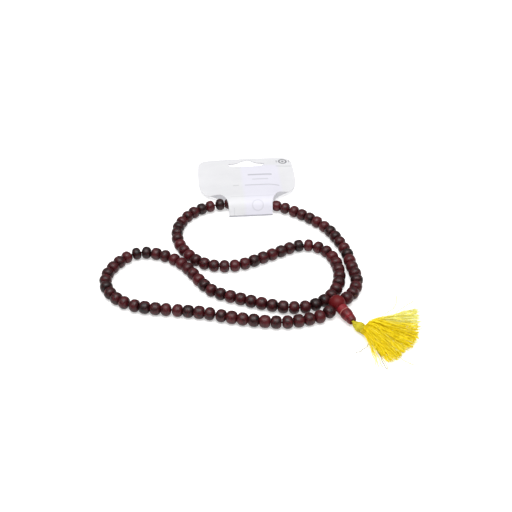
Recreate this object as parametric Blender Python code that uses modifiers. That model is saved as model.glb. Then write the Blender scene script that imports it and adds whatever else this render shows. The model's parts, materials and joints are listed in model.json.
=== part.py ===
"""Mala prayer beads laid out in a winding loop: 108 turned wooden beads on one cord,
a three-hole guru bead with its tower and a thread tassel, and the folded card
the strand hangs from.

Units are metres, +Z is up and z = 0 is the surface it lies on. The origin is the
middle of the whole laid-out object. The card is at the +Y end and the tassel at
the -Y end. Dimensions below are in millimetres. Runs in Blender 4.5.
"""
import math

import bmesh
import bpy
import numpy as np
from mathutils import Matrix, Vector

MM = 0.001

# ---- driving dimensions (mm) ------------------------------------------------
# The places of MIDDLE, GURU, CARD_AT and COURSE share one frame; MIDDLE is taken off them all.
MIDDLE = Vector((1.4, 15.4, 0.0))

BEADS = 108              # counting beads
BEAD_R = 4.0             # bead radius
RIM_R = 0.95             # radius of the small flat round the bore
BORE_R = 0.80
BORE_OVERRUN = 0.3       # how far a bore cutter reaches past each end gap's middle
CORD_R = 0.40
GAP = 0.45               # free length between two neighbouring beads
FOLD_GAP = 0.95          # the same where the strand folds
NECK_R = 1.35            # where the beads of one run touch
SIDES = 8                # facets round a counting bead
ROUNDNESS = 2.3          # exponent of a bead's outline; 2 would be an ellipse
BEAD_STATIONS = (-1.0, -0.86, -0.52, 0.0, 0.52, 0.86, 1.0)  # along half a bead's length

# gap i lies just before bead i, counting from 0
FOLD_GAPS = {9, 13, 17, 25, 29, 33, 72, 76, 80, 89, 93, 97}
FOUR_RUN_CELLS = {36, 41, 46, 51}    # first beads of the cells with a run of four
PITCH_RANGE = (6.5, 8.0)             # the bead pitch is searched for between these

GURU = Vector((52.6, -51.8, 5.8)) - MIDDLE             # centre of the guru bead
GURU_R = 5.6
EXIT_A = Vector((0.759, 0.651, -0.08)).normalized()    # hole where the strand starts
EXIT_B = Vector((-0.536, -0.844, -0.08)).normalized()  # hole where the strand ends
EXIT_HOLE_R = 1.1
CORD_END_AT = 0.7        # each cord end, from the guru's centre
CORD_BEND_AT = GURU_R - 0.6

TOWER_AXIS = Vector((0.492, -0.866, -0.086)).normalized()
TOWER_HOLE_R = 1.5
TOWER_START = GURU_R + 0.35
TOWER_L = 12.35
TOWER_BORE_R = 1.25
TASSEL_CORD_R = 0.75

BIND_AT = 21.0           # centre of the binding's round top, from the guru's centre
BIND_AXIS = Vector((0.719, -0.695, -0.04)).normalized()
BIND_L = 5.0
BIND_TOP_R = 2.2
BIND_END_R = 2.3
RIDGES = 3
RIDGE_START = 0.2        # first ridge, from the centre of the round top
RIDGE_PITCH = 1.6
RIDGE_R = (2.25, 2.5)    # start and crest of the first ridge
RIDGE_GROWTH = 0.12      # each ridge is this much larger than the last

SKIRT_AT = 8.1           # centre of the skirt's round top, from the binding's
SKIRT_ANGLES = (-64.0, 30.0)         # the fan's two edges, degrees from +X
SKIRT_ACROSS = 8         # divisions across the skirt
SKIRT_ROOT = 2.8         # half the width and half the thickness where the fan starts
SKIRT_END_HALF = 1.9     # half the thickness at the fan's outer edge
SKIRT_END_Z = 2.3        # middle height of the outer edge
SKIRT_ARCH = 0.9         # rise of the middle height, halfway out
SKIRT_SWELL = 0.5        # extra half thickness, halfway out
SKIRT_TAPER = 0.96       # how far the thickness falls off towards the fan's sides

CARD_T = 0.35            # card thickness
CARD_AT = Vector((-3.7, 53.2, 0.0)) - MIDDLE           # middle of the fold
CARD_TURN = math.radians(4.5)
CARD_LAG = 5.5           # the front leaf loses this much length going up over the beads
CARD_ACROSS = 6          # divisions across a leaf
FOLD_ROWS_END = 14.0     # the front leaf's rows follow its height table up to here
BACK_LEAF_Z = CARD_T / 2 + 0.001
SLOT_REACH = 15.0        # the slot cutter's reach above and below z = 0

# course of the strand from the guru's first hole round to its second (x, y, z);
# z is one bead radius where it lies flat, and higher on the card and at the guru
COURSE = [
    (60.4, -44.9, 4.6), (65.3, -37.5, 4.0), (68.1, -25.0, 4.0), (65.4, -10.0, 4.0),
    (63.6, 4.0, 4.0), (58.8, 18.0, 4.0), (52.6, 31.2, 4.0), (41.8, 43.4, 4.0),
    (30.6, 52.4, 4.0), (21.5, 57.8, 4.4), (13.0, 61.2, 4.75), (0.0, 62.6, 4.75),
    (-12.0, 63.0, 4.75), (-23.0, 62.8, 4.75), (-34.5, 60.4, 4.2), (-44.0, 55.0, 4.0),
    (-52.3, 45.0, 4.0), (-56.9, 31.5, 4.0), (-55.7, 17.8, 4.0), (-49.8, 5.0, 4.0),
    (-39.6, -6.4, 4.0), (-25.5, -11.4, 4.0), (-10.5, -9.8, 4.0), (2.5, -3.0, 4.0),
    (17.0, 5.0, 4.0), (29.5, 12.0, 4.0), (40.8, 11.8, 4.0), (50.6, 4.0, 4.0),
    (55.8, -9.6, 4.0), (56.4, -24.0, 4.0), (52.4, -37.8, 4.0), (43.2, -48.4, 4.0),
    (31.5, -53.8, 4.0), (18.0, -53.4, 4.0), (2.0, -49.4, 4.0), (-15.0, -43.6, 4.0),
    (-29.0, -37.6, 4.0), (-38.6, -26.0, 4.0), (-46.6, -13.8, 4.0), (-56.8, -3.6, 4.0),
    (-68.0, 2.0, 4.0), (-79.0, 4.2, 4.0), (-88.2, 0.4, 4.0), (-95.5, -8.4, 4.0),
    (-101.0, -20.0, 4.0), (-100.3, -32.6, 4.0), (-93.5, -43.4, 4.0), (-83.0, -50.8, 4.0),
    (-69.0, -54.4, 4.0), (-52.0, -56.6, 4.0), (-34.0, -59.0, 4.0), (-16.5, -63.2, 4.0),
    (0.0, -66.4, 4.0), (18.0, -68.2, 4.0), (31.0, -65.8, 4.0), (41.0, -62.8, 4.0),
    (47.4, -60.0, 4.5),
]

# tower outline (radius, height above the end far from the guru), closed by its bore
TOWER_PROFILE = [
    (2.9, TOWER_L), (3.4, 12.0), (3.4, 11.3), (3.1, 10.9), (3.8, 9.9), (4.2, 8.0),
    (4.1, 6.2), (3.7, 4.6), (3.1, 3.9), (3.4, 3.5), (3.4, 2.6), (3.0, 1.6), (2.7, 0.0),
    (TOWER_BORE_R, 0.0), (TOWER_BORE_R, TOWER_L),
]

BIND_TOP_ANGLES = (0.0, 0.45, 0.9, 1.35)                 # radians from the top's pole
SKIRT_TOP = [(2.55, 0.9), (1.9, 1.95), (0.9, 2.55)]      # (distance behind centre, radius)
SKIRT_STEPS = (0.0, 0.10, 0.22, 0.4, 0.6, 0.8, 1.0)      # shares of the thread length
# (share of the way across the fan, thread length)
SKIRT_LENGTHS = [(0.0, 30.0), (0.4, 34.0), (0.75, 36.0), (1.0, 43.0)]

# (distance from the fold, half the width): neck, hollow shoulders, lobe
CARD_WIDTH = [
    (0.0, 16.3), (6.0, 16.6), (12.0, 18.6), (18.0, 21.6), (22.0, 25.0), (25.5, 31.5),
    (29.0, 34.6), (34.0, 36.7), (42.0, 37.9), (50.0, 38.2), (60.0, 38.0), (67.0, 37.3),
    (71.0, 35.6), (73.5, 32.5), (74.5, 29.5),
]

# (distance from the fold, height) of the front leaf: up over the beads, then down
FRONT_HEIGHT = [
    (0.3, 0.95), (0.45, 1.7), (0.9, 3.0), (1.9, 5.0), (3.4, 7.4), (4.9, 8.8),
    (7.0, 9.75), (9.6, 10.1), (12.4, 10.05), (14.0, 9.75), (20.0, 8.7), (28.0, 7.2),
    (40.0, 5.7), (55.0, 4.4), (66.0, 3.8), (74.5, 3.6),
]

# outline of the front leaf's slot (x, y), from the middle of the fold
SLOT_OUTLINE = [
    (-10.6, 62.8), (12.4, 62.8), (14.1, 63.6), (14.7, 65.1), (14.1, 66.6), (12.4, 67.4),
    (8.2, 67.6), (5.6, 70.2), (1.2, 71.4), (-3.4, 70.2), (-6.0, 67.6), (-10.6, 67.4),
    (-12.3, 66.6), (-12.9, 65.1), (-12.3, 63.6),
]

# ---- finishes: (base colour, roughness) -------------------------------------
WOOD_ROUGHNESS = 0.32
WOODS = [(colour, WOOD_ROUGHNESS) for colour in (
    (0.105, 0.010, 0.014), (0.072, 0.008, 0.012), (0.145, 0.014, 0.020),
    (0.040, 0.006, 0.008), (0.090, 0.012, 0.012), (0.022, 0.007, 0.007),
)]
# strides that shuffle the woods along the strand
SINGLE_STRIDE = 7
RUN_STRIDE = 5
GURU_FINISH = ((0.33, 0.018, 0.022), 0.35)
TOWER_FINISH = ((0.19, 0.012, 0.016), 0.33)
TASSEL_CORD_FINISH = ((0.55, 0.43, 0.03), 0.8)
BINDING_FINISH = ((0.42, 0.33, 0.015), 0.8)
SKIRT_FINISH = ((0.80, 0.55, 0.012), 0.7)
FRONT_FINISH = ((0.84, 0.84, 0.88), 0.5)
BACK_FINISH = ((0.82, 0.82, 0.83), 0.5)
CORD_FINISH = ((0.03, 0.012, 0.012), 0.85)


# ---- the strand's geometry --------------------------------------------------
def blend(start, end, start_time, end_time, time):
    """The point at `time` on the line that runs from start to end."""
    span = end_time - start_time
    return start * ((end_time - time) / span) + end * ((time - start_time) / span)


def spline(points, per_span=40):
    """Centripetal Catmull-Rom through the points, as a dense polyline."""
    padded = [points[0] * 2 - points[1], *points, points[-1] * 2 - points[-2]]
    line = []
    for i in range(1, len(padded) - 2):
        a, b, c, d = padded[i - 1:i + 3]
        t0 = 0.0
        t1 = t0 + math.sqrt((b - a).length)
        t2 = t1 + math.sqrt((c - b).length)
        t3 = t2 + math.sqrt((d - c).length)
        for k in range(per_span):
            t = t1 + (t2 - t1) * k / per_span
            ab = blend(a, b, t0, t1, t)
            bc = blend(b, c, t1, t2, t)
            cd = blend(c, d, t2, t3, t)
            abc = blend(ab, bc, t0, t2, t)
            bcd = blend(bc, cd, t1, t3, t)
            line.append(blend(abc, bcd, t1, t2, t))
    line.append(padded[-2].copy())
    return line


def step_off(line, pitch, count):
    """Points one pitch apart in a straight line, walking along the course."""
    here = line[0].copy()
    points = [here]
    i = 0
    while len(points) <= count and i < len(line) - 1:
        start, end = line[i], line[i + 1]
        if (end - here).length < pitch:
            i += 1
            continue
        low, high = 0.0, 1.0
        for _ in range(40):
            middle = (low + high) / 2
            if (start.lerp(end, middle) - here).length < pitch:
                low = middle
            else:
                high = middle
        here = start.lerp(end, high)
        points.append(here)
    return points


def lay_out():
    """The gaps between beads, at the one pitch that ends at the guru's second hole."""
    start = GURU + EXIT_A * (GURU_R + GAP / 2)
    end = GURU + EXIT_B * (GURU_R + GAP / 2)
    line = spline([start] + [Vector(point) - MIDDLE for point in COURSE] + [end])
    low, high = PITCH_RANGE
    for _ in range(50):
        middle = (low + high) / 2
        if len(step_off(line, middle, BEADS)) > BEADS:
            low = middle
        else:
            high = middle
    points = step_off(line, low, BEADS)
    points[-1] = end
    return points


GAPS = lay_out()


def cells():
    """(first bead, beads) of each piece along the strand: one free bead, then a run."""
    pieces = []
    first = 0
    while first < BEADS:
        run = 4 if first in FOUR_RUN_CELLS else 3
        pieces += [(first, 1), (first + 1, run)]
        first += 1 + run
    return pieces


def trim(gap):
    """Half the free length left at a gap."""
    return (FOLD_GAP if gap in FOLD_GAPS else GAP) / 2


def bead_span(bead, trim_start=True, trim_end=True):
    """Start, end and direction of a bead along the cord."""
    start, end = GAPS[bead], GAPS[bead + 1]
    way = (end - start).normalized()
    if trim_start:
        start = start + way * trim(bead)
    if trim_end:
        end = end - way * trim(bead + 1)
    return start, end, way


def bead_radius(t):
    """Outer radius of a counting bead at t from -1 to 1 along its bore."""
    return RIM_R + (BEAD_R - RIM_R) * math.sqrt(1.0 - abs(t) ** ROUNDNESS)


# ---- helpers ----------------------------------------------------------------
def clear_scene():
    for ob in list(bpy.data.objects):
        bpy.data.objects.remove(ob, do_unlink=True)


def collection(name):
    col = bpy.data.collections.new(name)
    bpy.context.scene.collection.children.link(col)
    return col


def read_off(table, x):
    """Straight-line reading of a two-column table at x."""
    columns = zip(*table)
    return float(np.interp(x, *columns))


def material(name, colour, roughness):
    mat = bpy.data.materials.new(name)
    mat.use_nodes = True
    bsdf = mat.node_tree.nodes["Principled BSDF"]
    bsdf.inputs["Base Color"].default_value = (*colour, 1.0)
    bsdf.inputs["Roughness"].default_value = roughness
    mat.diffuse_color = (*colour, 1.0)
    return mat


def add_part(name, mesh, finish, smooth=True):
    ob = bpy.data.objects.new(name, mesh)
    PARTS.objects.link(ob)
    mesh.materials.append(material(name + "_material", *finish))
    if smooth:
        mesh.shade_smooth()
        mesh.set_sharp_from_angle(angle=math.radians(50))
    return ob


def add_cutter(name, mesh):
    ob = bpy.data.objects.new(name, mesh)
    CUTS.objects.link(ob)
    ob.hide_render = True
    ob.display_type = "WIRE"
    return ob


def cut(target, cutter):
    mod = target.modifiers.new("cut_" + cutter.name, "BOOLEAN")
    mod.operation = "DIFFERENCE"
    mod.solver = "EXACT"
    mod.object = cutter


def finish_bmesh(bm, mesh):
    bm.to_mesh(mesh)
    bm.free()
    return mesh


def poly_spline(curve, points):
    """Add a straight-sided spline through points in mm."""
    poly = curve.splines.new("POLY")
    poly.points.add(len(points) - 1)
    for knot, point in zip(poly.points, points):
        knot.co = (*(Vector(point) * MM), 1.0)
    return poly


def curve_mesh(name, curve):
    """The curve's surface as a closed mesh."""
    ob = bpy.data.objects.new(name + "_curve", curve)
    bpy.context.scene.collection.objects.link(ob)
    bpy.context.view_layer.update()
    depsgraph = bpy.context.evaluated_depsgraph_get()
    mesh = bpy.data.meshes.new_from_object(ob.evaluated_get(depsgraph))
    mesh.name = name
    bpy.data.objects.remove(ob, do_unlink=True)
    bm = bmesh.new()
    bm.from_mesh(mesh)
    bmesh.ops.remove_doubles(bm, verts=bm.verts, dist=1e-6)
    bmesh.ops.recalc_face_normals(bm, faces=bm.faces)
    return finish_bmesh(bm, mesh)


def tube_mesh(name, points, radii, resolution):
    """A round bar of varying radius along straight pieces, as a closed mesh."""
    curve = bpy.data.curves.new(name, "CURVE")
    curve.dimensions = "3D"
    curve.twist_mode = "Z_UP"
    curve.bevel_depth = MM
    curve.bevel_resolution = resolution
    curve.use_fill_caps = True
    poly = poly_spline(curve, points)
    for knot, radius in zip(poly.points, radii):
        knot.radius = radius
    return curve_mesh(name, curve)


def turned(name, profile, steps, axis, at, finish):
    """A profile (radius, height), down the outer side, turned about `axis` at `at`.

    A profile that starts off the axis is closed into a ring.
    """
    bm = bmesh.new()
    verts = [bm.verts.new((radius * MM, 0.0, z * MM)) for radius, z in profile]
    for start, end in zip(verts, verts[1:]):
        bm.edges.new((start, end))
    if profile[0][0] > 0:
        bm.edges.new((verts[-1], verts[0]))
    mesh = finish_bmesh(bm, bpy.data.meshes.new(name))
    ob = add_part(name, mesh, finish, smooth=False)
    mod = ob.modifiers.new("turn", "SCREW")
    mod.angle = 2 * math.pi
    mod.steps = steps
    mod.render_steps = steps
    mod.use_merge_vertices = True
    mod.merge_threshold = 1e-6
    mod.use_smooth_shade = True
    ob.rotation_mode = "QUATERNION"
    ob.rotation_quaternion = Vector((0, 0, 1)).rotation_difference(axis)
    ob.location = at * MM


# ---- beads and cord ---------------------------------------------------------
def build_single(bead):
    start, end, way = bead_span(bead)
    half = (end - start).length / 2
    profile = [(bead_radius(t), t * half) for t in reversed(BEAD_STATIONS)]
    profile += [(BORE_R, -half), (BORE_R, half)]
    wood = WOODS[bead * SINGLE_STRIDE % len(WOODS)]
    turned(f"bead_{bead + 1:03d}", profile, SIDES, way, (start + end) / 2, wood)


def build_run(first, count):
    """Touching beads as one solid, with a bore that follows the cord."""
    name = f"beads_{first + 1:03d}_{first + count:03d}"
    last = first + count - 1
    points, radii = [], []
    for bead in range(first, last + 1):
        start, end, _ = bead_span(bead, trim_start=bead == first, trim_end=bead == last)
        # a later bead starts on the neck that ends the one before
        for t in BEAD_STATIONS if bead == first else BEAD_STATIONS[1:]:
            points.append(start.lerp(end, (t + 1) / 2))
            radii.append(NECK_R if t == 1.0 and bead < last else bead_radius(t))
    wood = WOODS[first * RUN_STRIDE % len(WOODS)]
    run = add_part(name, tube_mesh(name, points, radii, resolution=2), wood)

    line = GAPS[first:last + 2]
    line[0] = line[0] - (line[1] - line[0]).normalized() * BORE_OVERRUN
    line[-1] = line[-1] + (line[-1] - line[-2]).normalized() * BORE_OVERRUN
    bore_name = name + "_bore"
    bore = tube_mesh(bore_name, line, [BORE_R] * len(line), resolution=1)
    cut(run, add_cutter(bore_name, bore))


def build_cord():
    points = [
        GURU + EXIT_A * CORD_END_AT,
        GURU + EXIT_A * CORD_BEND_AT,
        *GAPS,
        GURU + EXIT_B * CORD_BEND_AT,
        GURU + EXIT_B * CORD_END_AT,
    ]
    mesh = tube_mesh("cord", points, [CORD_R] * len(points), resolution=1)
    add_part("cord", mesh, CORD_FINISH)


# ---- guru bead, tower and tassel --------------------------------------------
def build_guru():
    bm = bmesh.new()
    bmesh.ops.create_uvsphere(bm, u_segments=16, v_segments=10, radius=GURU_R * MM)
    mesh = finish_bmesh(bm, bpy.data.meshes.new("guru_bead"))
    guru = add_part("guru_bead", mesh, GURU_FINISH)
    guru.location = GURU * MM
    holes = (("a", EXIT_A, EXIT_HOLE_R), ("b", EXIT_B, EXIT_HOLE_R), ("c", TOWER_AXIS, TOWER_HOLE_R))
    for label, way, radius in holes:
        name = "guru_hole_" + label
        # from just past the centre to clear of the surface
        reach = [GURU - way * 0.9, GURU + way * (GURU_R + 2)]
        cut(guru, add_cutter(name, tube_mesh(name, reach, [radius] * 2, resolution=2)))


def build_tower():
    # local +Z points back to the guru
    turned("guru_tower", TOWER_PROFILE, 12, -TOWER_AXIS,
           GURU + TOWER_AXIS * (TOWER_START + TOWER_L), TOWER_FINISH)


def build_tassel_cord():
    """From inside the guru to just past the tower."""
    reach = [GURU + TOWER_AXIS * 1.2, GURU + TOWER_AXIS * (TOWER_START + TOWER_L + 0.1)]
    mesh = tube_mesh("tassel_cord", reach, [TASSEL_CORD_R] * 2, resolution=2)
    add_part("tassel_cord", mesh, TASSEL_CORD_FINISH)


def build_binding():
    """A round top, then wound ridges."""
    profile = [(BIND_TOP_R * math.sin(angle), BIND_TOP_R * math.cos(angle))
               for angle in BIND_TOP_ANGLES]
    for k in range(RIDGES):
        z = -RIDGE_START - k * RIDGE_PITCH
        growth = RIDGE_GROWTH * k
        profile += [(RIDGE_R[0] + growth, z), (RIDGE_R[1] + growth, z - RIDGE_PITCH / 2)]
    profile += [(BIND_END_R, -BIND_L), (0.0, -BIND_L)]
    turned("tassel_binding", profile, 12, -BIND_AXIS, GURU + TOWER_AXIS * BIND_AT, BINDING_FINISH)


def skirt_rings():
    """Rings of (point, half thickness) across the skirt, from its round top outwards."""
    pivot = GURU + TOWER_AXIS * BIND_AT + BIND_AXIS * SKIRT_AT
    heading = math.atan2(BIND_AXIS.y, BIND_AXIS.x)
    side = Vector((-math.sin(heading), math.cos(heading), 0))
    across = np.linspace(1, -1, SKIRT_ACROSS + 1)
    rings = []
    for back, radius in SKIRT_TOP:
        rings.append([(pivot - BIND_AXIS * back + side * (radius * a),
                       radius * math.sqrt(1 - a * a)) for a in across])

    first_edge, last_edge = (math.radians(angle) for angle in SKIRT_ANGLES)
    for s in SKIRT_STEPS:
        arch = math.sin(math.pi * s)
        middle_z = pivot.z * (1 - s) + SKIRT_END_Z * s + SKIRT_ARCH * arch
        thickest = SKIRT_ROOT * (1 - s) + SKIRT_END_HALF * s + SKIRT_SWELL * arch
        ring = []
        for a in across:
            share = (a + 1) / 2
            angle = first_edge + (last_edge - first_edge) * share
            thread = Vector((math.cos(angle), math.sin(angle), 0))
            point = pivot + side * (SKIRT_ROOT * a) + thread * (read_off(SKIRT_LENGTHS, share) * s)
            point.z = middle_z
            ring.append((point, thickest * math.sqrt(1 - a * a * SKIRT_TAPER)))
        rings.append(ring)
    return rings


def build_skirt():
    """A flat fan of threads as one closed loft: a round top that opens into a wide, thin edge."""
    bm = bmesh.new()
    loops = []
    for ring in skirt_rings():
        upper, lower = [], []
        for i, (point, half) in enumerate(ring):
            if i in (0, SKIRT_ACROSS):
                upper.append(bm.verts.new(point * MM))
            else:
                lift = Vector((0, 0, half))
                upper.append(bm.verts.new((point + lift) * MM))
                lower.append(bm.verts.new((point - lift) * MM))
        loops.append(upper + lower[::-1])
    for near, far in zip(loops, loops[1:]):
        for i in range(len(near)):
            j = (i + 1) % len(near)
            bm.faces.new((near[i], near[j], far[j], far[i]))
    bm.faces.new(list(reversed(loops[0])))
    bm.faces.new(loops[-1])
    bmesh.ops.recalc_face_normals(bm, faces=bm.faces)
    mesh = finish_bmesh(bm, bpy.data.meshes.new("tassel_skirt"))
    add_part("tassel_skirt", mesh, SKIRT_FINISH)


# ---- card -------------------------------------------------------------------
def place_on_card(ob, up=0.0):
    """Turn an object with the card and set it `up` mm from the fold."""
    ob.rotation_euler = (0.0, 0.0, CARD_TURN)
    shift = Matrix.Rotation(CARD_TURN, 3, "Z") @ Vector((0.0, up, 0.0))
    ob.location = (CARD_AT + shift) * MM


def build_leaf(name, rows, finish):
    """A leaf from rows of (distance from the fold, half width, height)."""
    bm = bmesh.new()
    spans = len(rows) - 1
    bmesh.ops.create_grid(bm, x_segments=CARD_ACROSS, y_segments=spans, size=1.0)
    for vert in bm.verts:
        y, half_width, z = rows[round((vert.co.y + 1) / 2 * spans)]
        vert.co = Vector((vert.co.x * half_width * MM, y * MM, z * MM))
    bmesh.ops.recalc_face_normals(bm, faces=bm.faces)
    mesh = finish_bmesh(bm, bpy.data.meshes.new(name))
    leaf = add_part(name, mesh, finish, smooth=False)
    mod = leaf.modifiers.new("thickness", "SOLIDIFY")
    mod.thickness = CARD_T * MM
    mod.offset = 0.0
    place_on_card(leaf)
    return leaf


def slot_mesh():
    curve = bpy.data.curves.new("slot", "CURVE")
    curve.dimensions = "2D"
    curve.fill_mode = "BOTH"
    curve.extrude = SLOT_REACH * MM
    outline = poly_spline(curve, [(x, y, 0.0) for x, y in SLOT_OUTLINE])
    outline.use_cyclic_u = True
    return curve_mesh("slot", curve)


def cut_slot(leaf, name, mesh, up=0.0):
    cutter = add_cutter(name, mesh)
    place_on_card(cutter, up)
    cut(leaf, cutter)


def build_card():
    distances = [y for y, _ in FRONT_HEIGHT if y <= FOLD_ROWS_END]
    distances += [y for y, _ in CARD_WIDTH if y > FOLD_ROWS_END]
    front_rows = [(y, read_off(CARD_WIDTH, y), read_off(FRONT_HEIGHT, y)) for y in distances]
    # the back leaf has the same outline, further out by the lag
    back_rows = [(0.0, CARD_WIDTH[0][1], BACK_LEAF_Z)]
    back_rows += [(y + CARD_LAG, half_width, BACK_LEAF_Z) for y, half_width in CARD_WIDTH[1:]]

    slot = slot_mesh()
    front = build_leaf("card_front", front_rows, FRONT_FINISH)
    cut_slot(front, "card_slot_cut", slot)
    back = build_leaf("card_back", back_rows, BACK_FINISH)
    cut_slot(back, "card_slot_cut_back", slot.copy(), up=CARD_LAG)


clear_scene()
PARTS = collection("mala_prayer_beads")
CUTS = collection("cutters")
for first_bead, bead_count in cells():
    if bead_count == 1:
        build_single(first_bead)
    else:
        build_run(first_bead, bead_count)
build_guru()
build_tower()
build_tassel_cord()
build_binding()
build_skirt()
build_card()
build_cord()
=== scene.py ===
import json
import math
import random
from itertools import groupby

import bpy
import numpy as np
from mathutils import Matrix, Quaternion, Vector, noise

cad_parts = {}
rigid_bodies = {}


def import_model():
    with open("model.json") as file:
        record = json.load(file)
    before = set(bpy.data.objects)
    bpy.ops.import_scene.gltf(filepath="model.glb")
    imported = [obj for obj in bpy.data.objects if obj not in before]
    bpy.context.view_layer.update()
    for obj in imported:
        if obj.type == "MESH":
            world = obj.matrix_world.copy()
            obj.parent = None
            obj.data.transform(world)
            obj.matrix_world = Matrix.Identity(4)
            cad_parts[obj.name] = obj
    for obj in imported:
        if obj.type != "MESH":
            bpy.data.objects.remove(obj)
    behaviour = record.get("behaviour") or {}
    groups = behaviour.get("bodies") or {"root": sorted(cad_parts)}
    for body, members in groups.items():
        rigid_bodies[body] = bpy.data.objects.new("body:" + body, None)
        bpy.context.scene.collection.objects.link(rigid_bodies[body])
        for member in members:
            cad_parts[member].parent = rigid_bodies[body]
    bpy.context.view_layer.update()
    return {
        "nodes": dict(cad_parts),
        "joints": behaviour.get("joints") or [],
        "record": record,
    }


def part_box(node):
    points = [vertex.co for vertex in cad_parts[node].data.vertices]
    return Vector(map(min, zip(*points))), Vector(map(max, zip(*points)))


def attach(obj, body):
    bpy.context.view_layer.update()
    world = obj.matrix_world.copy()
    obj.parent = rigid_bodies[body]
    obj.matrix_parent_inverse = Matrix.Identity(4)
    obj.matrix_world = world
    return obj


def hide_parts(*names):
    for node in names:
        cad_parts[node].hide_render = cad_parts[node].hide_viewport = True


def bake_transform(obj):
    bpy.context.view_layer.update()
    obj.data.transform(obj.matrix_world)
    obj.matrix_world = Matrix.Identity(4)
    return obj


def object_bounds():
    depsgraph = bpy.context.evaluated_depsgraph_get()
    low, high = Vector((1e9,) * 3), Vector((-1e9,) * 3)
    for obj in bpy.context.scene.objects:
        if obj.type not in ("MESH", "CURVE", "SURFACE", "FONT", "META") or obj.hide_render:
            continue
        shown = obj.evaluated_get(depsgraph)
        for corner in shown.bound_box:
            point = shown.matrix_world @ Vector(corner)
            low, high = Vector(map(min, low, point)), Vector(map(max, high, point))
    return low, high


MM = 0.001
BEADS = 108

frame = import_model()
JOINTS = {j["name"]: j for j in frame["joints"]}
PARENT = {j["child"]: j["parent"] for j in frame["joints"]}
NODE_BODY = {node: body for body, nodes in frame["record"]["behaviour"]["bodies"].items()
             for node in nodes}
scene = bpy.context.scene


# =============================================================================
# Places read from the frame
# =============================================================================
GURU_CLEAR = 5.35       # cord vertices nearer than this to the guru's middle are left out
RING_REACH = 0.62       # cord vertices closer than this belong to the same ring


def centre(node):
    low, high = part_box(node)
    return (low + high) / 2 / MM


def joint_place(joint):
    return Vector(joint["pos_m"]) / MM


def joint_axis(joint):
    return Vector(joint["axis"]).normalized()


def ring_centres(points):
    """Group the cord's vertices into rings and return the middle of each ring's widest pair."""
    def apart(pair):
        return np.linalg.norm(ring[pair[0]] - ring[pair[1]])

    left, centres = list(range(len(points))), []
    while left:
        group, growing = [], [left.pop()]
        while growing:
            k = growing.pop()
            group.append(k)
            near = [m for m in left if np.linalg.norm(points[m] - points[k]) < RING_REACH]
            for m in near:
                left.remove(m)
            growing += near
        ring = points[group]
        i, j = max(((i, j) for i in range(len(ring)) for j in range(i + 1)), key=apart)
        centres.append((ring[i] + ring[j]) / 2)
    return centres


def cord_points():
    """The points between beads, from the guru bead's hole on the +Y side round to its other one.

    They are the cord's ring centres; missing ones on straight stretches are filled in evenly.
    """
    points = np.array([v.co for v in frame["nodes"]["cord"].data.vertices], float) / MM
    points = np.unique(np.round(points, 4), axis=0)
    guru = np.array(centre("guru_bead"))
    rings = ring_centres(points[np.linalg.norm(points - guru, axis=1) > GURU_CLEAR])
    rings.sort(key=lambda p: np.linalg.norm(p - guru))
    path = [rings.pop(next(k for k, p in enumerate(rings) if p[1] > guru[1]))]
    while rings:
        nearest = min(range(len(rings)), key=lambda i: np.linalg.norm(rings[i] - path[-1]))
        path.append(rings.pop(nearest))
    pitch = float(np.median([np.linalg.norm(b - a) for a, b in zip(path, path[1:])]))
    full = [path[0]]
    for point in path[1:]:
        last = full[-1]
        count = max(1, round(float(np.linalg.norm(point - last)) / pitch))
        full += [last + (point - last) * k / count for k in range(1, count + 1)]
    return [Vector(p) for p in full]


def bead_nodes():
    """Bead index from 0 -> CAD node; a node holds one bead or a run of them."""
    found = {}
    for node in frame["nodes"]:
        bits = node.split("_")
        if bits[0] == "bead" and len(bits) == 2:
            found[int(bits[1]) - 1] = node
        elif bits[0] == "beads":
            for number in range(int(bits[1]), int(bits[2]) + 1):
                found[number - 1] = node
    return found


def fold_gaps():
    """The gaps that lie on a fold's axis."""
    found = set()
    for joint in frame["joints"]:
        if joint["name"].startswith("fold_"):
            place, axis = joint_place(joint), joint_axis(joint)
            found |= {k for k, gap in enumerate(GAPS) if (gap - place).cross(axis).length < 0.1}
    return found


GAPS = cord_points()
if len(GAPS) != BEADS + 1:
    raise SystemExit(f"the cord has {len(GAPS)} ring centres between the guru's holes,"
                     f" not {BEADS + 1}")
BEAD_NODE = bead_nodes()
FOLDS = fold_gaps()

GURU = centre("guru_bead")
EXIT_A = (GAPS[0] - GURU).normalized()          # the cord's two ways out of the guru bead
EXIT_B = (GAPS[-1] - GURU).normalized()
TOWER_AXIS = joint_axis(JOINTS["tower_turn"])

BIND = joint_place(JOINTS["tassel_swing"])      # the tassel neck's start
SKIRT = joint_place(JOINTS["tassel_lift"])      # the neck's mouth, where the threads spread
BIND_AXIS = (SKIRT - BIND).normalized()
BIND_SIDE = Vector((-BIND_AXIS.y, BIND_AXIS.x, 0)).normalized()
BIND_UP = BIND_AXIS.cross(BIND_SIDE)
if BIND_UP.z < 0:
    BIND_UP = -BIND_UP
NECK_HEADING = math.atan2(BIND_AXIS.y, BIND_AXIS.x)

HINGE_V = 0.3                                   # from the card fold's outside up to its hinge line
FOLD = joint_place(JOINTS["card_leaf_open"])
ACROSS = joint_axis(JOINTS["card_leaf_open"])
UPWARD = Vector((-ACROSS.y, ACROSS.x, 0))       # on the floor, from the fold along the leaves
CARD_O = Vector((FOLD.x, FOLD.y, 0)) - UPWARD * HINGE_V


def link_of(bead):
    """The strand's body a bead is threaded on: its own, or for a turning bead its parent."""
    body = NODE_BODY[BEAD_NODE[bead]]
    return PARENT[body] if body.startswith("turning_") else body


# =============================================================================
# Shader nodes
# =============================================================================
def fill_ramp(elements, stops):
    """stops: (position, colour or grey)."""
    while len(elements) < len(stops):
        elements.new(0.5)
    for element, (position, colour) in zip(elements, stops):
        element.position = position
        element.color = (*(colour if isinstance(colour, tuple) else (colour,) * 3), 1.0)


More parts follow.
